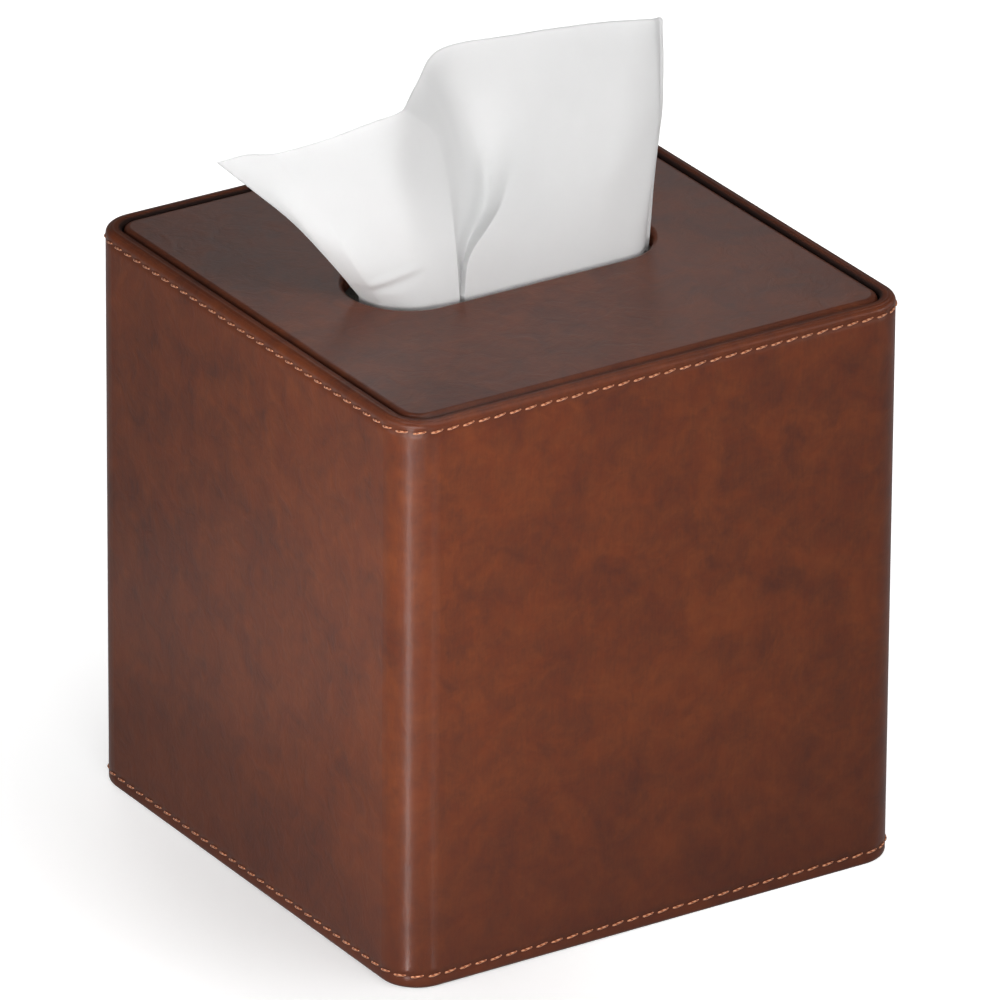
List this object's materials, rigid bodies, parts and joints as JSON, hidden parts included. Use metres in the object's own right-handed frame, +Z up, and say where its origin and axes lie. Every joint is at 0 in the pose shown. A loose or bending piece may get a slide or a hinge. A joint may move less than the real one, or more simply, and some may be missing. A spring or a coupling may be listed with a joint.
{
  "type": "tissue box cover",
  "caption": "Square leather-wrapped tissue box cover: inset top panel with an oval slot, velvet-lined walls, hinged magnetic bottom flap, refill carton and a standing tissue.",
  "frame": {"origin": "middle of the foot, on the surface the cover stands on", "axes": "+Z up, +X along the slot to the right seen from the front, +Y to the back where the flap is hinged"},
  "size_m": [0.13, 0.13, 0.1846],
  "materials": {
    "brown_leather": "mottled antique brown, satin, stitched near both edges",
    "brown_velvet": "short pile, matt",
    "grey_board": "bare grey board",
    "plated_magnet": "nickel plated",
    "carton_board": "plain white-lined board, unprinted",
    "tissue_paper": "soft white tissue"
  },
  "bodies": {
    "case": {"outer_leather": "brown_leather", "wall_board": "grey_board", "wall_magnets": "plated_magnet", "front_liner": "grey_board", "back_liner": "grey_board", "left_liner": "grey_board", "right_liner": "grey_board", "front_velvet": "brown_velvet", "back_velvet": "brown_velvet", "left_velvet": "brown_velvet", "right_velvet": "brown_velvet", "top_board": "grey_board", "top_leather": "brown_leather", "top_velvet": "brown_velvet", "hinge_wall_leaf": "brown_leather", "refill_carton": "carton_board", "tissue_pile": "tissue_paper"},
    "flap": {"flap_board": "grey_board", "flap_leather": "brown_leather", "flap_velvet": "brown_velvet", "flap_magnets": "plated_magnet", "hinge_flap_leaf": "brown_leather", "flap_pull_tab": "brown_leather"},
    "tissue": {"tissue_sheet": "tissue_paper"}
  },
  "joints": [
    {"name": "flap_hinge", "type": "hinge", "parent": "case", "child": "flap", "pos_m": [0, 0.0608, 0.0006], "axis": [1, 0, 0], "range_deg": [0, 120]},
    {"name": "tissue_pull", "type": "slide", "parent": "case", "child": "tissue", "axis": [0, 0, 1], "range_m": [0, 0.095]}
  ]
}
